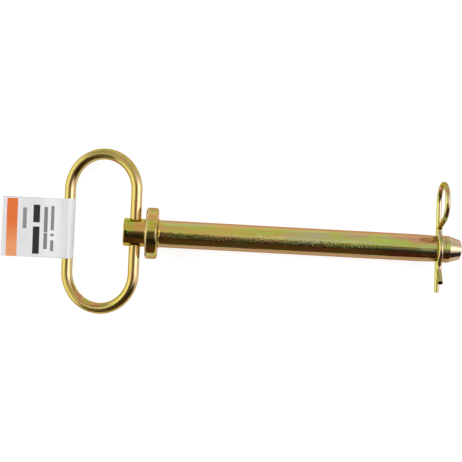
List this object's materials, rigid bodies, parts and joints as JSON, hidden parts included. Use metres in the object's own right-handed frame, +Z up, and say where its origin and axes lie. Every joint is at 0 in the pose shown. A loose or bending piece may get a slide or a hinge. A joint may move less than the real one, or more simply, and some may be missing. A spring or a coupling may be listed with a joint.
{
  "type": "hitch pin",
  "caption": "Straight hitch pin with a collared head, a swivelling wire loop handle, a hairpin cotter through its tip and a folded label on the handle.",
  "frame": {"origin": "middle of the whole object's bounding box, on the surface it lies on", "axes": "+X runs along the pin from its head to its tip, +Z up, and the handle's hinge and the cotter's hole run along +Y, to within 2 degrees"},
  "size_m": [0.2668, 0.0957, 0.0313],
  "materials": {
    "zinc_pin": "yellow chromate over zinc plate, with faint turning lines",
    "zinc_handle": "yellow chromate over zinc plate on smooth drawn wire",
    "zinc_clip": "yellow chromate over zinc plate on spring wire",
    "label_film": "printed white film, satin"
  },
  "bodies": {
    "pin_body": {"pin": "zinc_pin"},
    "handle_body": {"handle": "zinc_handle", "label": "label_film"},
    "cotter_body": {"cotter_clip": "zinc_clip"}
  },
  "joints": [
    {"name": "handle_swivel", "type": "hinge", "parent": "pin_body", "child": "handle_body", "pos_m": [-0.05448, 0, 0.0152], "axis": [-0.0079, 1, 0], "range_deg": [-144, 182]},
    {"name": "cotter_pull", "type": "slide", "parent": "pin_body", "child": "cotter_body", "axis": [-0.0227, 0.9997, 0], "range_m": [0, 0.045], "deforming": ["cotter_clip"]}
  ]
}
